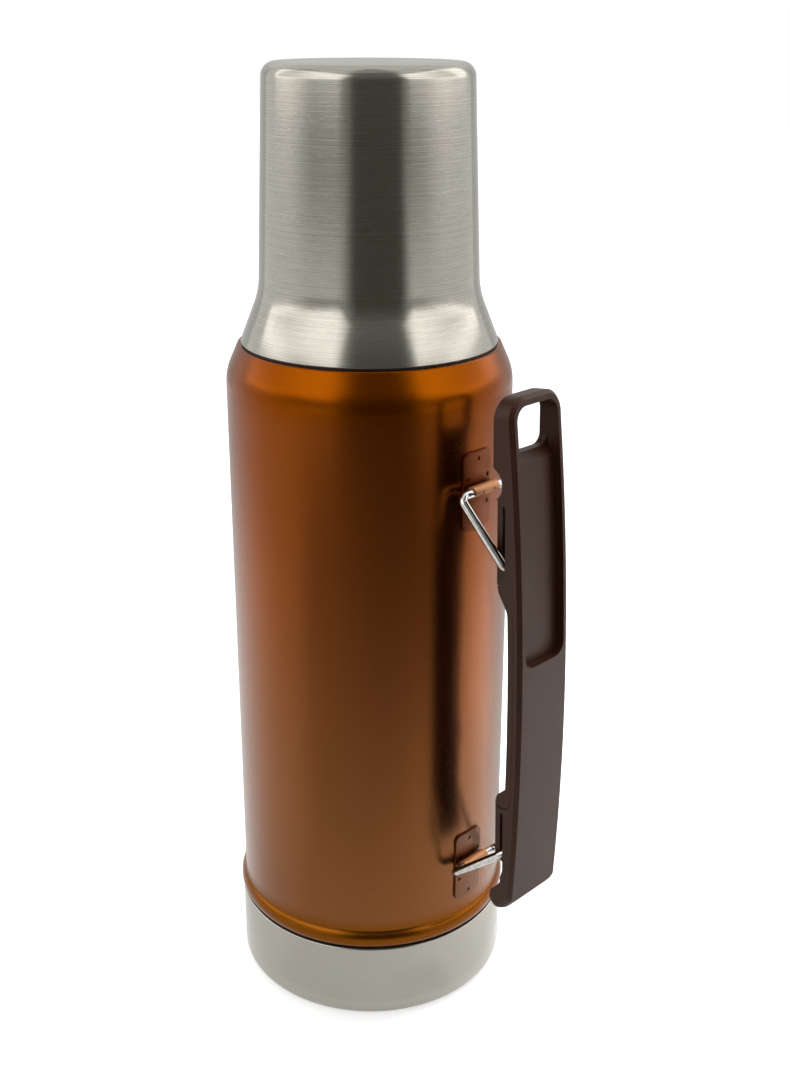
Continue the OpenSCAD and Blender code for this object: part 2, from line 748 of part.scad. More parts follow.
module stopper_body() {
    color(black) difference() {
        union() {
            translate([0, 0, plug_z]) cylinder(h = flange_z - plug_z + flange_t, r = plug_r);
            translate([0, 0, flange_z]) cylinder(h = flange_t, d = flange_d);
        }
        translate([0, 0, well_z]) cylinder(h = plug_h + flange_t + eps, r = well_r);
        ring_cut(gasket_z, gasket_h);
        ring_cut(ring_z - ring_r, 2 * ring_r);
        for (s = [0, 180]) rotate(s) translate([plug_r - pour_depth, -pour_w / 2, gasket_z + gasket_h + 3])
            cube([pour_depth + eps, pour_w, ring_z - gasket_z - gasket_h - 7]);
    }
}

// Groove round the plug
module ring_cut(z, h) {
    translate([0, 0, z]) difference() {
        cylinder(h = h, r = plug_r + eps);
        translate([0, 0, -eps]) cylinder(h = h + 2 * eps, r = plug_r - groove);
    }
}

module stopper_gasket() {
    color(silicone) translate([0, 0, gasket_z]) difference() {
        cylinder(h = gasket_h, r = mouth_r - press_fit);
        translate([0, 0, -eps]) cylinder(h = gasket_h + 2 * eps, r = plug_r - groove);
    }
}

module stopper_o_ring() {
    color(silicone) translate([0, 0, ring_z]) rotate_extrude()
        translate([plug_r - groove + ring_r + press_fit, 0]) circle(ring_r - press_fit);
}

module stopper_insulation() {
    color(foam) translate([0, 0, well_z]) cylinder(h = cap_z - well_z, r = well_r - press_fit);
}

// Fluted knob that closes the stopper
module stopper_cap() {
    flute_r = 4;
    color(black) translate([0, 0, cap_z]) difference() {
        cylinder(h = knob_h, d = knob_d);
        for (i = [0:flutes - 1]) rotate(i * 360 / flutes)
            translate([knob_d / 2 + flute_r * 0.6, 0, 2]) cylinder(h = knob_h, r = flute_r);
        translate([0, 0, knob_h - 2]) cylinder(h = 2 + eps, d = knob_d * 0.7);
    }
}

outer_shell();
base_cup();
base_gasket();
inner_flask();
flask_bottom();
radiation_foil();
shell_bottom();
vacuum_seal();
getter();
upper_bracket();
lower_bracket();
upper_bail();
lower_bail();
handle_shell();
grip_insert();
cup_shell();
cup_liner();
cup_collar();
stopper_body();
stopper_cap();
stopper_insulation();
stopper_gasket();
stopper_o_ring();
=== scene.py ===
# %% [markdown]
# # A vacuum bottle with a cup lid and a folding handle
# The CAD model of the bottle is already finished, and every solid in it has its true size. This
# lesson loads that model as a fixed frame and gives each piece the surface that it has on the real
# bottle: satin copper paint, brushed steel, plated wire and moulded plastic. Sizes are in metres
# once they reach Blender, but the outlines below are written in millimetres, as a maker would read
# them.

# %% Load the frame
import math

import bmesh
import bpy
from mathutils import Matrix, Vector


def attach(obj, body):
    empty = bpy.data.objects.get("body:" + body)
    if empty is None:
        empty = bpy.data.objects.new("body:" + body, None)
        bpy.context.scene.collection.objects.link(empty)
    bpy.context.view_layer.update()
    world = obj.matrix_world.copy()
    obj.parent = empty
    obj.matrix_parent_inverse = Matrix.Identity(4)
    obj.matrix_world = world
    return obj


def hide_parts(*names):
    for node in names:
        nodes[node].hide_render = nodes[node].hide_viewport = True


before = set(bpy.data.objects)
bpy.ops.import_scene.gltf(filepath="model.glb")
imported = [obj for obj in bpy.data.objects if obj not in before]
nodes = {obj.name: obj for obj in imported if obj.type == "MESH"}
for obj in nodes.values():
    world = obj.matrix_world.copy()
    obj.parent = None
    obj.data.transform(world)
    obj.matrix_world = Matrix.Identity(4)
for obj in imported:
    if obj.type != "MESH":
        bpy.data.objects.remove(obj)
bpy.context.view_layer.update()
scene = bpy.context.scene
scene.view_settings.view_transform = "Standard"

# %% [markdown]
# ## The camera
# The bottle was photographed from above its shoulder, a little more than half a metre away, with
# the handle on the right. A camera can be aimed with a constraint, but a plain place and direction
# are easier to read and never change with the pose. The tiny roll is the tilt of the hand that held
# the real camera. The lens is worked out from the picture's size in pixels.

# %% Camera
PICTURE = (790, 1068)
CAMERA_PLACE = Vector((0.3567, -0.3592, 0.3789))
CAMERA_AIM = Vector((-0.6461, 0.6758, -0.3547))
CAMERA_ROLL = 0.0023
FOCAL_PIXELS = 1383.1
SENSOR = 36
NEAREST = 0.01

camera_data = bpy.data.cameras.new("camera")
camera_data.sensor_width = SENSOR
camera_data.lens = FOCAL_PIXELS / max(PICTURE) * SENSOR
camera_data.clip_start = NEAREST
camera = bpy.data.objects.new("camera", camera_data)
scene.collection.objects.link(camera)
aim = CAMERA_AIM.to_track_quat("-Z", "Y").to_matrix() @ Matrix.Rotation(CAMERA_ROLL, 3, "Z")
camera.matrix_world = Matrix.Translation(CAMERA_PLACE) @ aim.to_4x4()
scene.camera = camera
print("camera lens", round(camera_data.lens, 2), "mm")

# %% [markdown]
# ## Shader sums
# A finish is a network of nodes, and most of them are plain arithmetic. The small class below wraps
# an output socket, so that `1 - mask` or `noise * 0.2 + 0.3` adds the Math nodes by itself. Every
# other kind of node comes from one method, which takes the node's type, its settings and what goes
# into its sockets. The nodes could also be drawn by hand in the editor, but sums are easier to read
# and to change.


# %% A socket that can be used in sums
class Flow:
    """An output socket of a shader."""

    def __init__(self, tree, socket=None):
        self.tree = tree
        self.socket = socket

    def node(self, kind, settings=None, sockets=None, out=0):
        """Adds a node and gives one of its outputs, or a list of them if out is a tuple."""
        made = self.tree.nodes.new("ShaderNode" + kind)
        for key, value in (settings or {}).items():
            setattr(made, key, value)
        for key, value in (sockets or {}).items():
            if isinstance(value, Flow):
                self.tree.links.new(value.socket, made.inputs[key])
            else:
                made.inputs[key].default_value = value
        if isinstance(out, tuple):
            return [Flow(self.tree, made.outputs[key]) for key in out]
        return Flow(self.tree, made.outputs[out])

    def maths(self, operation, *values):
        return self.node("Math", {"operation": operation}, dict(enumerate(values)))

    def __add__(self, other):
        return self.maths("ADD", self, other)

    def __sub__(self, other):
        return self.maths("SUBTRACT", self, other)

    def __rsub__(self, other):
        return self.maths("SUBTRACT", other, self)

    def __mul__(self, other):
        return self.maths("MULTIPLY", self, other)

    __radd__ = __add__
    __rmul__ = __mul__

    def most(self, other):
        """The larger of two values."""
        return self.maths("MAXIMUM", self, other)

    def step(self, start, end):
        """0 before start and 1 after end, with a soft change between them."""
        return self.node(
            "MapRange",
            {"interpolation_type": "SMOOTHSTEP"},
            {"Value": self, "From Min": start, "From Max": end},
        )

    def band(self, rise, fall):
        """1 between two soft edges, each given by where it starts and ends."""
        return self.step(*rise) * (1 - self.step(*fall))

    def mix(self, dark, light):
        """A colour between two others, with this socket as the share of the second."""
        return self.node("Mix", {"data_type": "RGBA"}, {0: self, 6: dark, 7: light}, out=2)

    def noise(self, stretch, detail=3.0, rough=0.5):
        """Noise over this place in space, with its own fineness along x, y and z."""
        place = self.node("VectorMath", {"operation": "MULTIPLY"}, {0: self, 1: stretch})
        return self.node(
            "TexNoise",
            {"noise_dimensions": "3D"},
            {"Vector": place, "Scale": 1.0, "Detail": detail, "Roughness": rough},
        )

    def relief(self, strength, depth):
        """A normal that follows this height, with its depth in metres."""
        return self.node("Bump", None, {"Strength": strength, "Distance": depth, "Height": self})


print("sockets can be used in sums")

# %% [markdown]
# ## What every finish shares
# Blender's Principled shader does for all of these surfaces, from paint to foam. A finish starts
# from it with its constants set, and then feeds it what changes from place to place. The place is
# read in space, in the bottle's own frame, so that no piece has to be unwrapped.


# %% Start of a finish
def feed(node, **sockets):
    """Sets each named socket of a node to a value, or links it to a Flow."""
    for key, value in sockets.items():
        socket = node.inputs[key.replace("_", " ")]
        if isinstance(value, Flow):
            value.tree.links.new(value.socket, socket)
        else:
            socket.default_value = value


def finish(name, **constants):
    """A material, the place on its surface as a Flow, and its shader with the constants set."""
    material = bpy.data.materials.new(name)
    material.use_nodes = True
    shader = material.node_tree.nodes["Principled BSDF"]
    feed(shader, **constants)
    return material, Flow(material.node_tree).node("TexCoord", out="Object"), shader


def rgb(red, green, blue):
    return (red, green, blue, 1.0)


def grey(level):
    return rgb(level, level, level)


def spread(place):
    """Distance of a place from the axis, and its height."""
    x, y, z = place.node("SeparateXYZ", None, {0: place}, out=(0, 1, 2))
    return x.maths("SQRT", x * x + y * y), z


print("shader helpers ready")

# %% [markdown]
# ## Copper paint
# The body is sprayed with a metallic paint and a satin clear coat. Metal flakes lie nearly flat in
# the colour, so it acts as a rough metal: bright orange where it mirrors the light, nearly black
# where it mirrors the dark room. The orange deepens on the way up. The clear coat adds a pale sheen.
# It is thick low on the side, thinner higher up, and there is none on the bead and the shoulder.
# The hinge plates get a duller, darker copper. Their knuckles get a paler, less metallic copper,
# which is a painted highlight.
# Flakes are far finer than a pixel, so they are a faint grain in colour and roughness, and a slow
# cloud keeps the spray from looking perfectly even.

# %% Copper paint
LOW_COPPER = (0.170, 0.0505, 0.0030), (0.205, 0.0625, 0.0045)
HIGH_COPPER = (0.193, 0.041, 0.0004), (0.232, 0.052, 0.0008)
# Paler copper for the hinge knuckles: a painted highlight.
KNUCKLE_HIGHLIGHT_COPPER = rgb(0.52, 0.22, 0.08)
DEEPENS = (0.06, 0.25)
COAT_LOW, COAT_LOSS = 0.50, 0.36
COAT_STARTS, COAT_ENDS = (0.039, 0.046), (0.240, 0.251)
# Distances from the axis of the knuckles' painted highlight, and how much less metallic it is there.
KNUCKLE_HIGHLIGHT_RADII, HIGHLIGHT_DULL = (0.0552, 0.0560), 0.45


def deepened(coppers, depth):
    """A dark and a light copper with less red and green, which darkens the orange."""
    return [rgb(red * depth, green * depth, blue) for red, green, blue in coppers]


def copper_paint(name, depth, rough, highlight_radii=None):
    """Copper paint. The highlight radii are the distances from the axis between which a paler copper
    paints a highlight on the knuckle.
    """
    material, place, shader = finish(name, Metallic=1.0, Coat_Roughness=0.26, Coat_IOR=1.5)
    cloud = place.noise((18, 18, 9), detail=2)
    flakes = place.noise((2600, 2600, 2600), detail=1)
    tone = (cloud * 0.6 + flakes * 0.4).step(0.3, 0.7)
    radius, height = spread(place)
    upper = height.step(*DEEPENS)
    low, high = (tone.mix(*deepened(pair, depth)) for pair in (LOW_COPPER, HIGH_COPPER))
    colour = upper.mix(low, high)
    if highlight_radii:
        # The knuckles get a painted highlight: paler copper and less metal.
        painted_highlight = radius.step(*highlight_radii)
        colour = painted_highlight.mix(colour, KNUCKLE_HIGHLIGHT_COPPER)
        feed(shader, Metallic=1 - painted_highlight * HIGHLIGHT_DULL)
    feed(
        shader,
        Base_Color=colour,
        Roughness=flakes * 0.07 + cloud * 0.04 + rough,
        Coat_Weight=(COAT_LOW - upper * COAT_LOSS) * height.band(COAT_STARTS, COAT_ENDS),
        Normal=flakes.relief(0.05, 0.0002),
    )
    return material


COPPER = copper_paint("copper_paint", depth=1.0, rough=0.20)
PLATE_COPPER = copper_paint("plate_paint", depth=0.74, rough=0.34, highlight_radii=KNUCKLE_HIGHLIGHT_RADII)
print("made", COPPER.name, "and", PLATE_COPPER.name)

# %% [markdown]
# ## Brushed steel
# Foot and cup are turned against a belt, which leaves fine scratches round the axis. They could be
# modelled as grooves, but they are thinner than a hair, so they are noise. It is read along one
# number only, the height less the radius, which gives straight lines round the walls and rings on
# the cup's flat end. Two such passes take turns, and the noise that swaps them chops the lines into
# short dashes. The shader's own anisotropy then draws each reflection out along the bottle, as real
# scratches do. The cup has coarse marks, the foot fine ones, and the steel inside is duller.

# %% Brushed steel
SECOND_PASS, CHOP_HEIGHT = 1.23, 0.8
HAIRLINES = (130, 130, 14000)
ROUND_ONLY = (1, 1, 0)


def brushed_steel(name, dark, light, rough, around, up):
    """Brushed steel. Around and up say how fine its scratches are along the turn and across it."""
    material, place, shader = finish(
        name, Metallic=1.0, Anisotropic=0.45, Anisotropic_Rotation=0.25
    )
    radius, height = spread(place)
    rings = place.node("CombineXYZ", None, {"Z": height - radius})
    turn = place.node(
        "VectorMath", {"operation": "MULTIPLY_ADD"}, {0: place, 1: ROUND_ONLY, 2: rings}
    )
    first_pass = rings.noise((0, 0, up), detail=3, rough=0.7)
    second_pass = rings.noise((0, 0, up * SECOND_PASS), detail=3, rough=0.7)
    chop = turn.noise((around, around, up * CHOP_HEIGHT), detail=2).step(0.38, 0.62)
    streaks = first_pass + (second_pass - first_pass) * chop
    hairlines = turn.noise(HAIRLINES, detail=2)
    patches = place.noise((30, 30, 22), detail=2)
    scratches = streaks * 0.65 + hairlines * 0.35
    feed(
        shader,
        Base_Color=scratches.step(0.34, 0.66).mix(dark, light),
        Roughness=scratches * 0.15 + patches * 0.03 + rough,
        Normal=scratches.relief(0.06, 0.0001),
    )
    return material


CUP_STEEL = brushed_steel(
    "cup_steel", rgb(0.280, 0.267, 0.229), rgb(0.480, 0.458, 0.400), rough=0.08, around=620, up=1400
)
FOOT_STEEL = brushed_steel(
    "foot_steel", rgb(0.372, 0.356, 0.310), rgb(0.446, 0.428, 0.378), rough=0.08, around=150, up=3600
)
INNER_STEEL = brushed_steel(
    "inner_steel", rgb(0.36, 0.355, 0.34), rgb(0.47, 0.465, 0.45), rough=0.22, around=150, up=3600
)
print("made", CUP_STEEL.name, FOOT_STEEL.name, "and", INNER_STEEL.name)

# %% [markdown]
# ## Plated wire
# The bails are drawn wire with a bright plating. Drawing leaves faint lines along the wire, which
# break its reflections a little, so a plain mirror would look too clean.


# %% Plated wire
def chrome_wire(name, dark, light, rough):
    """Bright plating over the faint marks of drawing."""
    material, place, shader = finish(name, Metallic=1.0)
    draw_marks = place.noise((700, 700, 700), detail=3)
    feed(
        shader,
        Base_Color=draw_marks.step(0.3, 0.7).mix(dark, light),
        Roughness=draw_marks * 0.05 + rough,
        Normal=draw_marks.relief(0.02, 0.0002),
    )
    return material


CHROME = chrome_wire("chrome_wire", rgb(0.50, 0.495, 0.475), rgb(0.66, 0.655, 0.635), rough=0.03)
print("made", CHROME.name)

# %% [markdown]
# ## Moulded plastic
# The handle is moulded in a dark brown plastic with a fine spark-eroded grain, which keeps the sheen
# soft. The same recipe in black does for the cup's collar, its liner and the stopper, and a duller
# one for the rubber rings. Hands polish the grip, so a slow noise makes the sheen uneven. The brown
# plastic also warms the sheen itself, which a tint on the reflection gives.


# %% Moulded plastic
def moulded_plastic(name, dark, light, rough, tint=grey(1)):
    """Plastic or rubber between two colours, with a fine grain and an uneven sheen."""
    material, place, shader = finish(name, IOR=1.36, Specular_Tint=tint)
    grain = place.noise((2400, 2400, 2400), detail=2)
    wear = place.noise((45, 45, 30), detail=3)
    feed(
        shader,
        Base_Color=(grain * 0.5 + wear * 0.5).step(0.3, 0.7).mix(dark, light),
        Roughness=wear * 0.14 + grain * 0.06 + rough,
        Normal=grain.relief(0.12, 0.0003),
    )
    return material


BROWN = moulded_plastic(
    "brown_plastic",
    rgb(0.029, 0.0088, 0.0042),
    rgb(0.041, 0.0130, 0.0070),
    rough=0.28,
    tint=rgb(1, 0.84, 0.70),
)
BLACK = moulded_plastic("black_plastic", grey(0.010), grey(0.018), rough=0.36)
RUBBER = moulded_plastic("gasket_rubber", grey(0.012), rgb(0.024, 0.023, 0.022), rough=0.6)
print("made", BROWN.name, BLACK.name, "and", RUBBER.name)

# %% [markdown]
# ## Foil and foam
# Two finishes are hidden until the bottle is taken apart: the crinkled foil round the flask, and the
# pale foam in the stopper. Foil is a bright metal with a coarse relief, and foam a chalky colour
# with small cells. Real folds and bubbles would take many faces that nobody sees.


# %% Foil and foam
def crinkled_foil(name, dark, light):
    """Bright metal foil with creases."""
    material, place, shader = finish(name, Metallic=1.0)
    folds = place.noise((260, 260, 180), detail=4)
    feed(
        shader,
        Base_Color=folds.step(0.3, 0.7).mix(dark, light),
        Roughness=folds * 0.2 + 0.12,
        Normal=folds.relief(0.5, 0.0006),
    )
    return material


def pale_foam(name, dark, light):
    """Chalky foam with small cells."""
    material, place, shader = finish(name, IOR=1.4)
    cells = place.node("TexVoronoi", {"feature": "F1"}, {"Vector": place, "Scale": 900.0})
    feed(
        shader,
        Base_Color=cells.step(0.1, 0.7).mix(dark, light),
        Roughness=cells * 0.1 + 0.8,
        Normal=cells.relief(0.4, 0.0005),
    )
    return material


FOIL = crinkled_foil("foil", rgb(0.74, 0.74, 0.75), grey(0.86))
FOAM = pale_foam("foam", rgb(0.70, 0.67, 0.56), rgb(0.84, 0.81, 0.70))
print("made", FOIL.name, "and", FOAM.name)

# %% [markdown]
# ## Helpers for outlines
# Sheet-metal shapes are outlines with rounded corners. `rounded` turns one corner of a path into an
# arc, and `arc` gives the points of a part of a circle. Both work in millimetres, with the radius
# first and the height second. Curve objects could be drawn instead, but numbers keep the sizes
# exact.


# %% Outlines
def points_on(centre, radius, angles):
    return [centre + radius * Vector((math.cos(a), math.sin(a))) for a in angles]


def arc(centre, radius, start, end, steps=10):
    """Points on a circle, with the angles in degrees."""
    angles = [math.radians(start + (end - start) * i / steps) for i in range(steps + 1)]
    return points_on(Vector(centre), radius, angles)


def rounded(before, corner, after, radius, steps):
    """The corner of a path as an arc of a radius."""
    before, corner, after = Vector(before), Vector(corner), Vector(after)
    u = (before - corner).normalized()
    v = (after - corner).normalized()
    half = u.angle(v) / 2
    middle = corner + (u + v).normalized() * radius / math.sin(half)
    start = corner + u * radius / math.tan(half) - middle
    end = corner + v * radius / math.tan(half) - middle
    sweep = math.pi - 2 * half
    side = 1 if start.x * end.y - start.y * end.x > 0 else -1
    first = math.atan2(start.y, start.x)
    return points_on(middle, radius, [first + side * sweep * i / steps for i in range(steps + 1)])


print("an arc of a quarter has", len(arc((0, 0), 1, 0, 90)), "points")

# %% [markdown]
# ## Turned pieces
# Body, foot and cup are turned or spun, so each is one outline carried round the axis. Blender's
# Screw modifier would do it, and so would a spin in edit mode. A few lines of mesh code give the
# same mesh, let a point on the axis stay one single point, and need no modifier to be applied. CAD
# exports round faces in coarse facets, so these smoother pieces take the place of the solids that
# they repeat.

# %% Carry an outline round the axis
MM = 0.001
SIDES = 240
ON_AXIS = 1e-6
TURNED_CREASE = 32


def show(name, mesh, material, crease):
    """An object from a mesh, smooth but for the edges sharper than the crease."""
    for face in mesh.polygons:
        face.use_smooth = True
    mesh.set_sharp_from_angle(angle=math.radians(crease))
    mesh.materials.append(material)
    piece = bpy.data.objects.new(name, mesh)
    scene.collection.objects.link(piece)
    return piece


def new_mesh(name, points, faces):
    mesh = bpy.data.meshes.new(name)
    mesh.from_pydata(points, [], faces)
    mesh.update()
    return mesh


def turned(name, outline, material):
    """A closed outline of radius and height, carried once round the Z axis."""
    points, rings = [], []
    for radius, height in outline:
        count = 1 if radius < ON_AXIS else SIDES
        rings.append([len(points) + i for i in range(count)])
        for i in range(count):
            a = 2 * math.pi * i / SIDES
            points.append((radius * math.cos(a) * MM, radius * math.sin(a) * MM, height * MM))
    faces = []
    for here, there in zip(rings, rings[1:] + rings[:1]):
        if len(here) == 1 and len(there) == 1:
            continue
        for i in range(SIDES):
            j = (i + 1) % SIDES
            corners = (here, i), (here, j), (there, j), (there, i)
            face = [ring[k % len(ring)] for ring, k in corners]
            faces.append(list(dict.fromkeys(face)))
    return show(name, new_mesh(name, points, faces), material, TURNED_CREASE)


print("turned pieces get", SIDES, "sides")

# %% [markdown]
# ## Where a piece belongs
# The bottle can move: the cup and the stopper lift off, and the handle folds.


# %% Settle a piece
def settle(piece, body, slot, *stands_for):
    """Lets a piece ride on a body and hides the solids that it stands for. The slot is not used."""
    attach(piece, body)
    if stands_for:
        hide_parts(*stands_for)
    print(piece.name, "on", body, "with", len(piece.data.vertices), "points")


# %% [markdown]
# ## Painted body
# The body is one deep-drawn shell: a straight side, a soft shoulder that leans in to a ledge, and a
# bead rolled just above the foot. The bead's own ends blend into the side, because sheet metal never
# turns a knife edge. The side runs on inside the foot, where it isn't seen.

# %% Painted body
BODY_R, BODY_Z, SHEET = 53.5, 8.0, 0.8
BEAD_Z, BEAD_H, BEAD_OUT, BEAD_CUT = 32.5, 7.4, 1.8, 14
BEAD_LOWER_ROUND, BEAD_UPPER_ROUND = 0.8, 1.6
SIDE_TOP, SHOULDER_R, SHOULDER_LEAN = 249.4, 20.0, 24.0
LEDGE_Z, LEDGE_ROUND = 264.0, 0.9
NECK_R, NECK_TOP, NECK_ROUND = 36.4, 288.0, 0.8

bead_r = ((BEAD_H / 2) ** 2 + BEAD_OUT**2) / (2 * BEAD_OUT)
bead_c = (BODY_R + BEAD_OUT - bead_r, BEAD_Z + BEAD_H / 2)
bead_half = math.degrees(math.asin(BEAD_H / 2 / bead_r)) - BEAD_CUT
bead = arc(bead_c, bead_r, -bead_half, bead_half, 14)
shoulder = arc((BODY_R - SHOULDER_R, SIDE_TOP), SHOULDER_R, 0, SHOULDER_LEAN, 12)
lean = math.tan(math.radians(SHOULDER_LEAN))
ledge = Vector((shoulder[-1].x - (LEDGE_Z - shoulder[-1].y) * lean, LEDGE_Z))
bead_top, neck_foot = (BODY_R, BEAD_Z + BEAD_H), (NECK_R, LEDGE_Z)
body_outline = [
    (BODY_R, BODY_Z),
    *rounded((BODY_R, BODY_Z), (BODY_R, BEAD_Z), bead[0], BEAD_LOWER_ROUND, 5),
    *bead,
    *rounded(bead[-1], bead_top, (BODY_R, SIDE_TOP), BEAD_UPPER_ROUND, 6),
    *shoulder,
    *rounded(shoulder[-1], ledge, neck_foot, LEDGE_ROUND, 6),
    *rounded((BODY_R, LEDGE_Z), neck_foot, (NECK_R, NECK_TOP), NECK_ROUND, 5),
    (NECK_R, NECK_TOP),
    (NECK_R - SHEET, NECK_TOP),
    (NECK_R - SHEET, LEDGE_Z - SHEET),
    (ledge.x - SHEET, LEDGE_Z - SHEET),
    (BODY_R - SHEET, SIDE_TOP),
    (BODY_R - SHEET, BODY_Z),
]
settle(turned("painted_body", body_outline, COPPER), "bottle", "copper_paint", "outer_shell")

# %% [markdown]
# ## Steel foot
# The foot is a shallow cup that is pushed on from below. Its lower edge is rounded, and its rim is a
# cut sheet with a trace of a round, which catches a thin line of light next to the black ring. A
# cylinder with a bevel would do as well, but an outline gives each edge its own round.

# %% Steel foot
FOOT_R, FOOT_H, FOOT_WALL = 54.65, 32.3, 1.1
FOOT_EDGE, FOOT_RIM_ROUND = 4.5, 0.4
foot_in = FOOT_R - FOOT_WALL
foot_outline = [
    (0, 0),
    *rounded((0, 0), (FOOT_R, 0), (FOOT_R, FOOT_H), FOOT_EDGE, 12),
    *rounded((FOOT_R, 0), (FOOT_R, FOOT_H), (foot_in, FOOT_H), FOOT_RIM_ROUND, 4),
    (foot_in, FOOT_H),
    *rounded((foot_in, FOOT_H), (foot_in, FOOT_WALL), (0, FOOT_WALL), FOOT_EDGE - FOOT_WALL, 8),
    (0, FOOT_WALL),
]
settle(turned("steel_foot", foot_outline, FOOT_STEEL), "bottle", "steel", "base_cup")

# %% [markdown]
# ## Cup lid
# The lid is a drinking cup turned over: a slightly tapered wall, a flared skirt that sits on the
# shoulder, and a closed end with a round edge. The sheet is spun over a former, so wall and skirt
# meet in a wide round and not in a line. It ends in a bare rim above the black collar.

# %% Cup lid
CUP_Z, WAIST_Z, CUP_TOP = 264.6, 283.05, 362.25
RIM_R, WAIST_R, END_R = 47.8, 40.5, 37.3
RIM_ROUND, WAIST_ROUND, CUP_EDGE = 0.35, 30.0, 5.0
CUP_WALL, RIM_WALL = 0.8, 0.86
rim, waist, end = (RIM_R, CUP_Z), (WAIST_R, WAIST_Z), (END_R, CUP_TOP)
rim_in = (RIM_R - RIM_WALL, CUP_Z)
waist_in = (WAIST_R - CUP_WALL, WAIST_Z)
end_in = (END_R - CUP_WALL, CUP_TOP - CUP_WALL)
cup_outline = [
    *rounded(rim_in, rim, waist, RIM_ROUND, 4),
    *rounded(rim, waist, end, WAIST_ROUND, 16),
    *rounded(waist, end, (0, CUP_TOP), CUP_EDGE, 14),
    (0, CUP_TOP),
    (0, CUP_TOP - CUP_WALL),
    *rounded((0, CUP_TOP - CUP_WALL), end_in, waist_in, CUP_EDGE - CUP_WALL, 10),
    waist_in,
    rim_in,
]
settle(turned("cup_lid", cup_outline, CUP_STEEL), "cup", "steel", "cup_shell")

# %% [markdown]
# ## Tubes along a path
# Two things on this bottle are a round section that follows a path: the wire of the bails and the
# screw thread. A curve with a round bevel would do for the wire, but a tube made by hand keeps its
# ring of points square to the path at every bend, and it can also swell and shrink along the way,
# which the thread needs.

# %% A tube along a path
TUBE_CREASE = 50


def tube(name, path, radii, material, sides):
    """A closed tube round a path of points, with one radius for each point."""
    befores = path[:1] + path[:-1]
    afters = path[1:] + path[-1:]
    tangents = [(after - before).normalized() for before, after in zip(befores, afters)]
    across = tangents[0].orthogonal().normalized()
    points, faces = [], []
    for point, along, radius in zip(path, tangents, radii):
        across = (across - along * across.dot(along)).normalized()
        other = along.cross(across)
        for i in range(sides):
            a = 2 * math.pi * i / sides
            points.append(point + radius * (across * math.cos(a) + other * math.sin(a)))
    for base in range(0, len(points) - sides, sides):
        for i in range(sides):
            j = (i + 1) % sides
            faces.append((base + i, base + j, base + sides + j, base + sides + i))
    faces.append(tuple(reversed(range(sides))))
    faces.append(tuple(range(len(points) - sides, len(points))))
    return show(name, new_mesh(name, points, faces), material, TUBE_CREASE)


print("tubes are smooth up to", TUBE_CREASE, "degrees")

# %% [markdown]
# ## Wire bails
# Each bail is one bent wire: it runs through the bracket's knuckle, comes out along both sides and
# turns inwards into the handle. Both are bent on the same jig, so one flat line of corners does for
# the two, and each is then tilted about its own hinge.

# %% Wire bails
WIRE_R, WIRE_BEND, WIRE_END, WIRE_SIDES = 1.6, 3.0, 7.5, 24
BAIL_L, HINGE_HALF, BAIL_TAPER = 30.2, 12.7, 3.4
HINGE_X, UPPER_HINGE_Z, LOWER_HINGE_Z = 56.9, 219.0, 63.5
UPPER_ANGLE, LOWER_ANGLE = 48.2, -39.487
handle_half = HINGE_HALF - BAIL_L * math.tan(math.radians(BAIL_TAPER))
bail_corners = [
    (BAIL_L, handle_half - WIRE_END),
    (BAIL_L, handle_half),
    (0, HINGE_HALF),
    (0, -HINGE_HALF),
    (BAIL_L, -handle_half),
    (BAIL_L, WIRE_END - handle_half),
]
bail_line = [Vector(bail_corners[0])]
for before, corner, after in zip(bail_corners, bail_corners[1:], bail_corners[2:]):
    bail_line += rounded(before, corner, after, WIRE_BEND, 10)
bail_line.append(Vector(bail_corners[-1]))


def bail(name, hinge_z, angle, node):
    """The bent wire, tilted about its hinge. Its body has the same name as its solid."""
    tilt = Matrix.Rotation(math.radians(angle), 3, "Y")
    hinge = Vector((HINGE_X, 0, hinge_z))
    path = [(hinge + tilt @ Vector((p.x, p.y, 0))) * MM for p in bail_line]
    wire = tube(name, path, [WIRE_R * MM] * len(path), CHROME, WIRE_SIDES)
    settle(wire, node, "chrome_wire", node)


bail("upper_wire", UPPER_HINGE_Z, UPPER_ANGLE, "upper_bail")
bail("lower_wire", LOWER_HINGE_Z, LOWER_ANGLE, "lower_bail")

# %% [markdown]
# ## Handle and brackets
# These have flat faces, holes and slots, and the CAD solids already hold every one of them. What
# they lack is the small round that a mould or a press leaves on each edge. So the mesh is copied,
# its split points are welded, the triangles of each flat face are joined again, and a Bevel modifier
# rounds the edges. Without these rounds no edge would catch the light, and the handle would look
# like cut card.

# %% Copies with soft edges
WELD, FLAT, EDGE_CREASE = 2e-6, 0.6, 28
HANDLE_EDGE, GRIP_EDGE, PLATE_EDGE = 0.45, 0.4, 0.28
CAD_SHADING = ("custom_normal", "sharp_edge", "sharp_face")


def softened(node, name, material, width, segments=2):
    """A copy of a CAD solid with welded points, whole faces and rounded edges."""
    mesh = nodes[node].data.copy()
    mesh.name = name
    mesh.materials.clear()
    work = bmesh.new()
    work.from_mesh(mesh)
    bmesh.ops.remove_doubles(work, verts=work.verts, dist=WELD)
    bmesh.ops.dissolve_limit(
        work, angle_limit=math.radians(FLAT), verts=work.verts, edges=work.edges
    )
    work.to_mesh(mesh)
    work.free()
    for layer in CAD_SHADING:
        if layer in mesh.attributes:
            mesh.attributes.remove(mesh.attributes[layer])
    piece = show(name, mesh, material, EDGE_CREASE)
    bevel = piece.modifiers.new("soft_edges", "BEVEL")
    bevel.limit_method = "ANGLE"
    bevel.angle_limit = math.radians(EDGE_CREASE)
    bevel.width = width * MM
    bevel.segments = segments
    bevel.use_clamp_overlap = True
    bevel.miter_outer = "MITER_ARC"
    bevel.harden_normals = True
    return piece


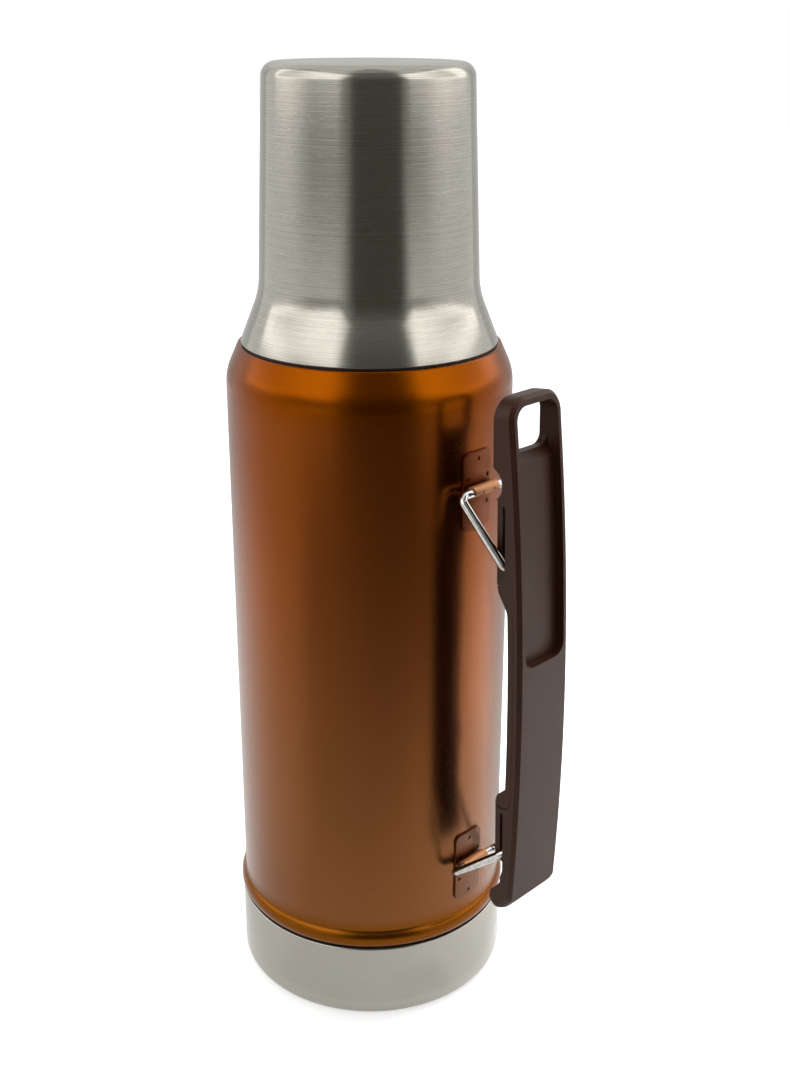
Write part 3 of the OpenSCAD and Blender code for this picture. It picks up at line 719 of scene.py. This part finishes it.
moulding = softened("handle_shell", "handle_moulding", BROWN, HANDLE_EDGE)
settle(moulding, "handle", "brown_plastic", "handle_shell")
strip = softened("grip_insert", "grip_strip", BROWN, GRIP_EDGE)
settle(strip, "handle", "brown_plastic", "grip_insert")
for node in ("upper_bracket", "lower_bracket"):
    name = node.replace("bracket", "hinge_plate")
    plate = softened(node, name, PLATE_COPPER, PLATE_EDGE, segments=3)
    settle(plate, "bottle", "copper_paint", node)

# %% [markdown]
# ## Screw thread on the neck
# When the cup is lifted off, the neck shows the thread that holds it. The CAD neck is plain, with a
# millimetre of room to the collar, and a thread of a single start fits in that room. It is a tube
# along a helix that is sunk into the neck and runs out to nothing at both ends.

# %% Thread
THREAD_TURNS, THREAD_PITCH, THREAD_Z, THREAD_R = 2.25, 5.0, 270.5, 0.75
THREAD_STEPS, THREAD_SIDES = 260, 12
RUN_OUT, LEAST_SWELL = 14, 0.1
helix, swell = [], []
for i in range(THREAD_STEPS + 1):
    share = i / THREAD_STEPS
    a = 2 * math.pi * THREAD_TURNS * share
    rise = THREAD_Z + THREAD_PITCH * THREAD_TURNS * share
    helix.append(Vector((NECK_R * math.cos(a), NECK_R * math.sin(a), rise)) * MM)
    fullness = min(1.0, share * RUN_OUT, (1 - share) * RUN_OUT)
    swell.append(THREAD_R * MM * max(LEAST_SWELL, fullness))
settle(tube("neck_thread", helix, swell, COPPER, THREAD_SIDES), "bottle", "copper_paint")

# %% [markdown]
# ## Solids that stay
# The remaining solids have the right shape already: rings, gaskets, the stopper and what lies inside
# the walls. They could be copied and softened too, but little of them shows. Each of them keeps its
# CAD mesh and only gets the finish of its material slot.

# %% Finishes for the other solids
FINISHES = {
    "base_gasket": RUBBER,
    "inner_flask": INNER_STEEL,
    "flask_bottom": INNER_STEEL,
    "radiation_foil": FOIL,
    "shell_bottom": INNER_STEEL,
    "vacuum_seal": INNER_STEEL,
    "getter": INNER_STEEL,
    "cup_liner": BLACK,
    "cup_collar": BLACK,
    "stopper_body": BLACK,
    "stopper_cap": BLACK,
    "stopper_insulation": FOAM,
    "stopper_gasket": RUBBER,
    "stopper_o_ring": RUBBER,
}
for node, material in FINISHES.items():
    nodes[node].data.materials.clear()
    nodes[node].data.materials.append(material)
print("finished", len(FINISHES), "solids")

# %% [markdown]
# ## White room
# The bottle stands in a plain white studio. To the camera and to mirrors the room is simply white,
# while the light that it throws on the bottle stays at a plain level. A dome of lamps could do this,
# but the world's own shader can tell what kind of ray asks, and answer each with its own strength.


# %% World
def rays(start, *kinds):
    """One Flow for each kind of ray that the light path names."""
    return start.node("LightPath", out=tuple(f"Is {kind} Ray" for kind in kinds))


WORLD_LIGHT = 0.25
world = bpy.data.worlds.new("white_room")
scene.world = world
world.use_nodes = True
direct, mirrored, through = rays(Flow(world.node_tree), "Camera", "Glossy", "Transmission")
seen = direct.most(mirrored).most(through)
backdrop = world.node_tree.nodes["Background"]
feed(backdrop, Color=grey(1), Strength=seen * (1 - WORLD_LIGHT) + WORLD_LIGHT)
print("world lights at", WORLD_LIGHT)

# %% [markdown]
# ## Floor sheet
# Under the bottle lies a white sheet, and a wide plane does for it. A curved backdrop would do too,
# but the white room already hides the plane's end. Near the foot the sheet glows less and the lamps
# light it, so that the soft shadow stays, and further out its own glow brings it to the white of the
# room. Mirrors see a dimmer sheet close to the bottle, because much of it lies in shade there.

# %% Floor
FLOOR_HALF = 4.0
SHEET_GREY = 0.6
GLOW_NEAR, GLOW_RISE, GLOW_FADE = 0.6, 0.4, (0.1, 0.7)
MIRROR_NEAR, MIRROR_RISE, MIRROR_FADE = 0.46, 0.34, (0.5, 1.8)
corners = [(x * FLOOR_HALF, y * FLOOR_HALF, 0) for x, y in ((-1, -1), (1, -1), (1, 1), (-1, 1))]
sheet, sheet_place, sheet_shader = finish(
    "floor_sheet",
    Roughness=1.0,
    Specular_IOR_Level=0.0,
    Base_Color=grey(SHEET_GREY),
    Emission_Strength=1.0,
)
direct, mirrored, through = rays(sheet_place, "Camera", "Glossy", "Transmission")
from_bottle = spread(sheet_place)[0]
camera_glow = from_bottle.step(*GLOW_FADE) * GLOW_RISE + GLOW_NEAR
mirror_glow = from_bottle.step(*MIRROR_FADE) * MIRROR_RISE + MIRROR_NEAR
glow = direct * camera_glow + (mirrored + through) * mirror_glow
feed(sheet_shader, Emission_Color=glow.mix(grey(0), grey(1)))
floor_mesh = new_mesh("floor", corners, [(0, 1, 2, 3)])
floor_mesh.materials.append(sheet)
floor = bpy.data.objects.new("floor", floor_mesh)
scene.collection.objects.link(floor)
print("floor", 2 * FLOOR_HALF, "m wide")

# %% [markdown]
# ## Dark flags
# A round mirror under white light would be white all over. What draws the bottle's shape is the dark
# room behind the camera, which shows as a dark band down the cup and the body. A photographer hangs
# black cloth there, called a flag. Here a flag is a strip that bends round the bottle, with a fade
# that lets the white through at its ends. Only mirrors can see it, so it takes no light away.

# %% How a flag is hung
CAMERA_AZIMUTH = -45.2
FLAG_STEPS = 60


def toward(azimuth):
    """A level direction, at an azimuth that is counted to the right of the camera's own."""
    a = math.radians(CAMERA_AZIMUTH + azimuth)
    return Vector((math.cos(a), math.sin(a), 0))


def azimuth_of(place):
    """Degrees to the right of the camera's own azimuth."""
    ahead, aside = (
        place.node("VectorMath", {"operation": "DOT_PRODUCT"}, {0: place, 1: toward(way)}, out=1)
        for way in (0, 90)
    )
    return ahead.maths("ARCTAN2", aside, ahead) * math.degrees(1)


def flag(name, start, end, near, far, shade, fade):
    """A cloth between two azimuths. Near and far are its edges, as a distance and a height."""
    points, faces = [], []
    for i in range(FLAG_STEPS + 1):
        way = toward(start + (end - start) * i / FLAG_STEPS)
        points += [way * distance + Vector((0, 0, height)) for distance, height in (near, far)]
    for i in range(FLAG_STEPS):
        faces.append((2 * i, 2 * i + 2, 2 * i + 3, 2 * i + 1))
    cloth, place, shader = finish(
        name + "_cloth",
        Roughness=1.0,
        Specular_IOR_Level=0.0,
        Base_Color=grey(0),
        Emission_Color=shade,
        Emission_Strength=1.0,
    )
    feed(shader, Alpha=fade(place))
    mesh = new_mesh(name, points, faces)
    mesh.materials.append(cloth)
    panel = bpy.data.objects.new(name, mesh)
    scene.collection.objects.link(panel)
    panel.visible_camera = False
    panel.visible_diffuse = False
    panel.visible_shadow = False
    print(name, "from", start, "to", end, "degrees")


print("camera stands at", CAMERA_AZIMUTH, "degrees")

# %% [markdown]
# ## Flags in front
# Three flags hang on the camera's side. The room flag is a wall: a nearly black middle behind the
# camera, a dim skirt to both sides of it near the floor, and a thin scrim high up, which greys the
# lamps a little. One flag lies on the floor in front of the wall and one under the ceiling, so that
# the dark band runs on over the bottle's rounded edges.

# %% Front flags
WALL, CEILING = 0.95, 1.7
FLOOR_IN, FLOOR_OUT = (0.06, 0.002), (0.94, 0.002)


def room_fade(place):
    """The dark middle, the skirt and the scrim, each where it is the densest of the three."""
    azimuth, height = azimuth_of(place), spread(place)[1]
    thinner = height.step(0.35, 0.85) * 0.14
    middle = azimuth.band((-37, -13), (31, 47)) * (0.95 - thinner)
    dim = height.step(0.16, 0.37) * 0.72 + 0.03
    skirt = azimuth.band((-95, -55), (46, 90)) * (1 - height.step(0.42, 0.52)) * dim
    beside = azimuth.maths("ABSOLUTE", azimuth).step(45, 95)
    scrim = height.step(0.42, 0.58) * (beside * 0.32 + 0.08)
    return middle.most(skirt).most(scrim)


def floor_fade(place):
    """Dense on the right of the camera and far out, and thin near the bottle."""
    azimuth = azimuth_of(place)
    left_edge = azimuth.step(-64, -40) * 0.72 + azimuth.step(-40, 18) * 0.28
    across = left_edge * (1 - azimuth.step(48, 108))
    return spread(place)[0].step(-0.12, 0.72) * across * 0.8


def ceiling_fade(place):
    return azimuth_of(place).band((-45, -15), (35, 65)) * 0.5


flag("room_flag", -112, 108, (WALL, 0), (WALL, CEILING), rgb(0.055, 0.048, 0.034), room_fade)
flag("floor_flag", -66, 110, FLOOR_IN, FLOOR_OUT, rgb(0.03, 0.025, 0.02), floor_fade)
flag("ceiling_flag", -50, 70, (0.05, CEILING), (WALL, CEILING), grey(0.02), ceiling_fade)

# %% [markdown]
# ## Flags behind
# Behind the bottle two grey cards, one upright and one on the floor, keep the outer edges of the
# body and the foot from melting into the white background. They are paler than the flags in front,
# because a grazing mirror shows them strongly.

# %% Back flags
BACK_FOOT, BACK_TOP = 0.05, 0.9


def back_fade(place):
    return 0.65 - spread(place)[1].step(0.5, BACK_TOP) * 0.65


def back_floor_fade(place):
    """Stronger on the right, where the handle stands, than on the left."""
    azimuth = azimuth_of(place)
    right = azimuth.step(80, 145) * (0.7 - azimuth.step(150, 180) * 0.4)
    left = (1 - azimuth.step(-150, -95)) * 0.3
    return right + left


flag("back_flag", 135, 225, (WALL, BACK_FOOT), (WALL, BACK_TOP), rgb(0.45, 0.45, 0.44), back_fade)
flag("back_floor_flag", 80, 265, FLOOR_IN, FLOOR_OUT, rgb(0.35, 0.35, 0.34), back_floor_fade)

# %% [markdown]
# ## Soft boxes
# Two wide soft boxes stand to the left and to the right of the camera. Wide lamps make soft shadows,
# and their light adds up to about the level at which a colour looks as it is written. A soft box is
# an area lamp, and its power is worked out from how bright a mirror would show it.

# %% Soft boxes
AIM_HEIGHT = 0.2
BOX_UP, BOX_AWAY, BOX_BRIGHT = 31, 1.3, 1.38


def softbox(name, azimuth, size):
    """A wide lamp that faces the bottle."""
    up = math.radians(BOX_UP)
    direction = toward(azimuth) * math.cos(up) + Vector((0, 0, math.sin(up)))
    data = bpy.data.lights.new(name, "AREA")
    data.shape = "RECTANGLE"
    data.size, data.size_y = size
    data.energy = math.pi * size[0] * size[1] * BOX_BRIGHT
    lamp = bpy.data.objects.new(name, data)
    scene.collection.objects.link(lamp)
    facing = direction.to_track_quat("Z", "Y").to_matrix().to_4x4()
    stand = Vector((0, 0, AIM_HEIGHT)) + direction * BOX_AWAY
    lamp.matrix_world = Matrix.Translation(stand) @ facing
    lamp.visible_camera = False
    print(name, round(data.energy, 1), "W")


softbox("left_box", azimuth=-72, size=(2.42, 1.05))
softbox("right_box", azimuth=85, size=(2.34, 1.05))

# %% [markdown]
# ## Sheet lights
# The soft boxes leave the sheet beside the bottle a little grey, where the real one is white. Two
# narrow lamps hang over it and shine straight down. Mirrors don't see them, so that they change the
# sheet and hardly the bottle.

# %% Sheet lights
SHEET_LIGHT_UP, SHEET_LIGHT_SIZE, SHEET_LIGHT_SPREAD = 0.9, 0.4, 55


def downlight(name, azimuth, distance, power):
    """A narrow round lamp over the sheet."""
    data = bpy.data.lights.new(name, "AREA")
    data.shape = "DISK"
    data.size = SHEET_LIGHT_SIZE
    data.energy = power
    data.spread = math.radians(SHEET_LIGHT_SPREAD)
    lamp = bpy.data.objects.new(name, data)
    scene.collection.objects.link(lamp)
    lamp.location = toward(azimuth) * distance + Vector((0, 0, SHEET_LIGHT_UP))
    lamp.visible_camera = False
    lamp.visible_glossy = False
    print(name, power, "W")


downlight("right_sheet_light", azimuth=108, distance=0.40, power=2.3)
downlight("left_sheet_light", azimuth=-118, distance=0.42, power=0.9)
